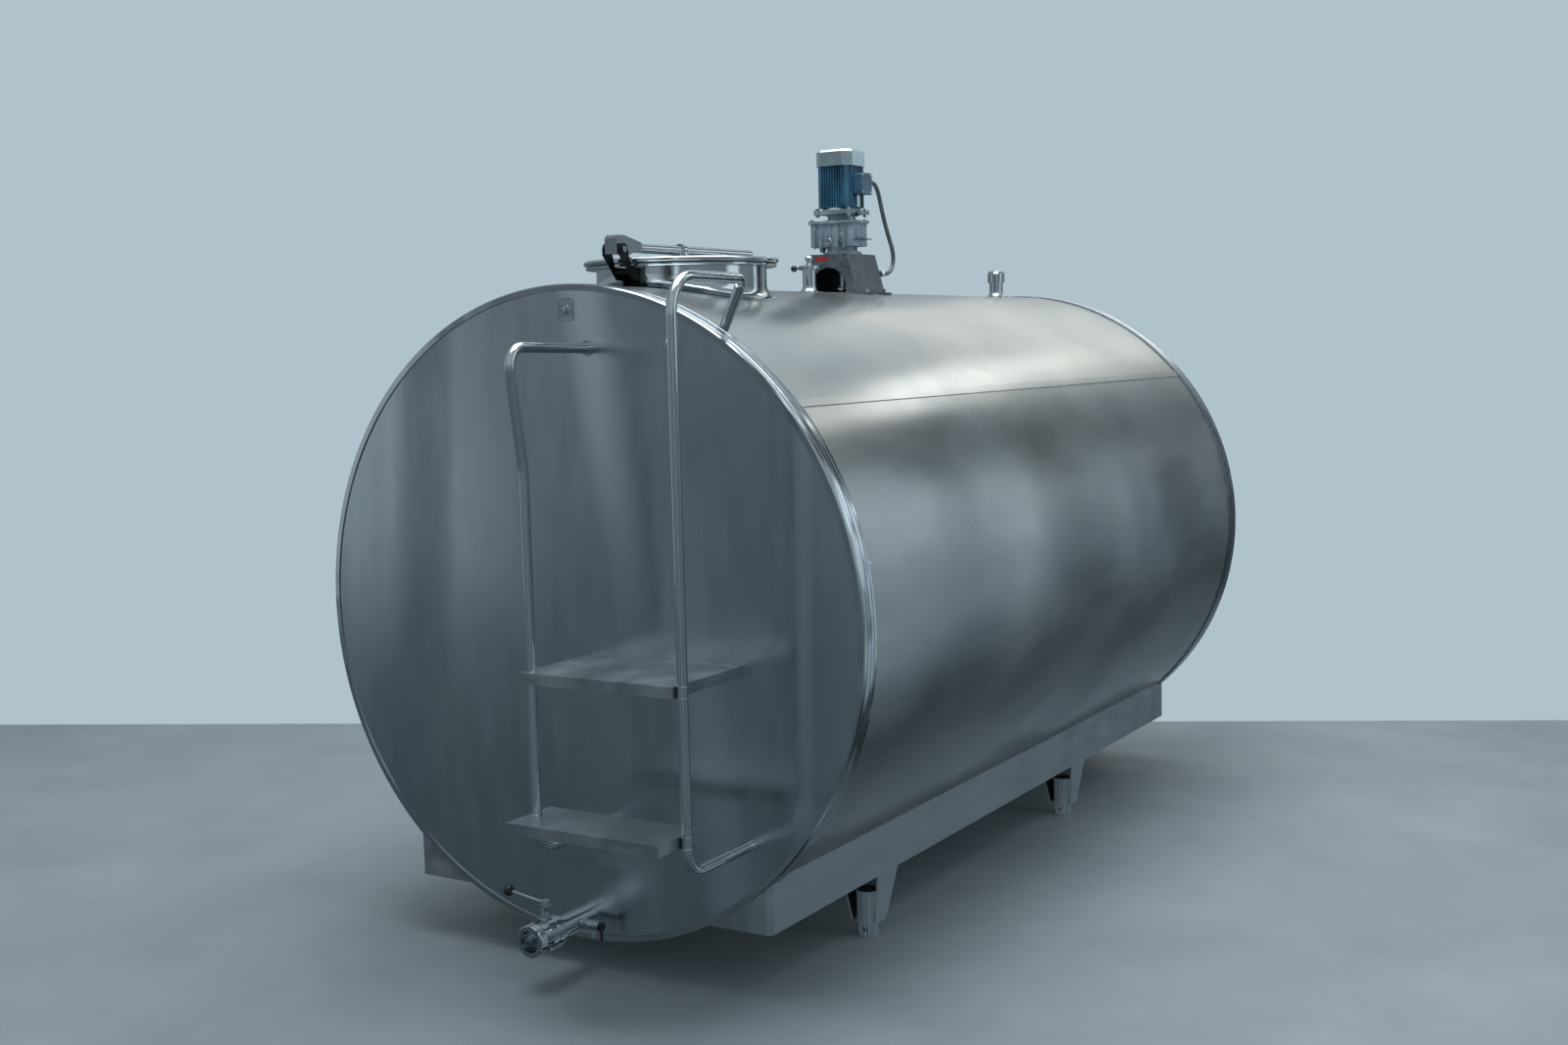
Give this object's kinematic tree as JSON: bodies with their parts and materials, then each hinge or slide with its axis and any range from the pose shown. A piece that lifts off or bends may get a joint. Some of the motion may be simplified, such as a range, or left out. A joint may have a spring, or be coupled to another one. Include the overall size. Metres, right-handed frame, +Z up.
{
  "type": "bulk milk tank",
  "caption": "Horizontal insulated milk cooling tank on levelling feet with ladder, hinged manhole lid, geared agitator and outlet valve.",
  "frame": {"origin": "on the floor, under the middle of the whole object's box", "axes": "+Z up, tank axis along Y with the ladder and outlet facing -Y, +X to the right of someone facing the front"},
  "size_m": [1.6038, 3.094, 2.095],
  "materials": {
    "brushed_shell": "satin",
    "mirror_head": "satin",
    "polished_steel": "polished",
    "frame_steel": "satin",
    "grey_cast": "matte",
    "blue_paint": "satin",
    "bright_aluminium": "satin",
    "black_plastic": "gloss",
    "grey_conduit": "matte",
    "seal_rubber": "matte",
    "foam": "matte",
    "gear_steel": "satin"
  },
  "bodies": {
    "tank": {"outer_shell": "brushed_shell", "front_head": "mirror_head", "rear_head": "mirror_head", "inner_vessel": "brushed_shell", "insulation_foam": "foam", "evaporator": "brushed_shell", "front_trim_ring": "polished_steel", "rear_trim_ring": "polished_steel", "shell_seam_strips": "brushed_shell", "left_skirt": "frame_steel", "right_skirt": "frame_steel", "legs": "frame_steel", "left_ladder_rail": "polished_steel", "right_ladder_rail": "polished_steel", "upper_step": "frame_steel", "lower_step": "frame_steel", "manhole_neck": "polished_steel", "manhole_collar": "polished_steel", "hinge_bracket": "polished_steel", "hinge_pin": "polished_steel", "spray_port": "polished_steel", "spray_port_cap": "polished_steel", "spray_port_clamp": "polished_steel", "spray_ball": "polished_steel", "vent_neck": "polished_steel", "agitator_bracket": "frame_steel", "agitator_port": "polished_steel", "gearbox_housing": "grey_cast", "shaft_bearings": "gear_steel", "gearbox_cover": "grey_cast", "motor_frame": "blue_paint", "stator_core": "gear_steel", "fan_cowl": "bright_aluminium", "terminal_box": "blue_paint", "motor_conduit": "grey_conduit", "conduit_glands": "bright_aluminium", "outlet_pipe": "polished_steel", "valve_seat": "polished_steel", "outlet_union": "polished_steel", "hex_fasteners": "polished_steel", "valve_bonnet": "polished_steel", "sample_cock": "polished_steel"},
    "lid": {"manhole_lid": "polished_steel", "lid_seal": "seal_rubber", "lid_bar": "polished_steel", "lid_boss": "polished_steel"},
    "vent": {"vent_cap": "polished_steel"},
    "agitator": {"agitator_shaft": "polished_steel", "output_gear": "gear_steel"},
    "layshaft": {"layshaft_gears": "gear_steel"},
    "rotor": {"motor_rotor": "gear_steel", "cooling_fan": "black_plastic"},
    "valve": {"valve_disc": "polished_steel", "valve_lever": "polished_steel", "lever_knob": "black_plastic"},
    "sample_valve": {"sample_handle": "black_plastic"},
    "front_left_leveller": {"front_left_foot": "polished_steel"},
    "rear_left_leveller": {"rear_left_foot": "polished_steel"},
    "front_right_leveller": {"front_right_foot": "polished_steel"},
    "rear_right_leveller": {"rear_right_foot": "polished_steel"}
  },
  "joints": [
    {"name": "lid_hinge", "type": "hinge", "parent": "tank", "child": "lid", "pos_m": [0, -0.995, 1.763], "axis": [1, 0, 0], "range_deg": [0, 100]},
    {"name": "vent_cap_lift", "type": "slide", "parent": "tank", "child": "vent", "axis": [0, 0, 1], "range_m": [0, 0.03]},
    {"name": "agitator_spin", "type": "hinge", "parent": "tank", "child": "agitator", "pos_m": [0, 0.153, 0.873], "axis": [0, 0, 1], "continuous": true},
    {"name": "layshaft_spin", "type": "hinge", "parent": "tank", "child": "layshaft", "pos_m": [-0.042, 0.153, 1.823], "axis": [0, 0, 1], "continuous": true},
    {"name": "rotor_spin", "type": "hinge", "parent": "tank", "child": "rotor", "pos_m": [0, 0.153, 1.873], "axis": [0, 0, 1], "continuous": true},
    {"name": "outlet_lever", "type": "hinge", "parent": "tank", "child": "valve", "pos_m": [0, -1.359, 0.127], "axis": [0, 0, 1], "range_deg": [0, 90]},
    {"name": "sample_lever", "type": "hinge", "parent": "tank", "child": "sample_valve", "pos_m": [0.084, -1.252, 0.127], "axis": [-1, 0, 0], "range_deg": [0, 90]},
    {"name": "front_left_foot_screw", "type": "slide", "parent": "tank", "child": "front_left_leveller", "axis": [0, 0, -1], "range_m": [0, 0.035]},
    {"name": "rear_left_foot_screw", "type": "slide", "parent": "tank", "child": "rear_left_leveller", "axis": [0, 0, -1], "range_m": [0, 0.035]},
    {"name": "front_right_foot_screw", "type": "slide", "parent": "tank", "child": "front_right_leveller", "axis": [0, 0, -1], "range_m": [0, 0.035]},
    {"name": "rear_right_foot_screw", "type": "slide", "parent": "tank", "child": "rear_right_leveller", "axis": [0, 0, -1], "range_m": [0, 0.035]}
  ],
  "couplings": [
    {"joint": "layshaft_spin", "follows": "agitator_spin", "ratio": -5},
    {"joint": "rotor_spin", "follows": "agitator_spin", "ratio": 25}
  ]
}
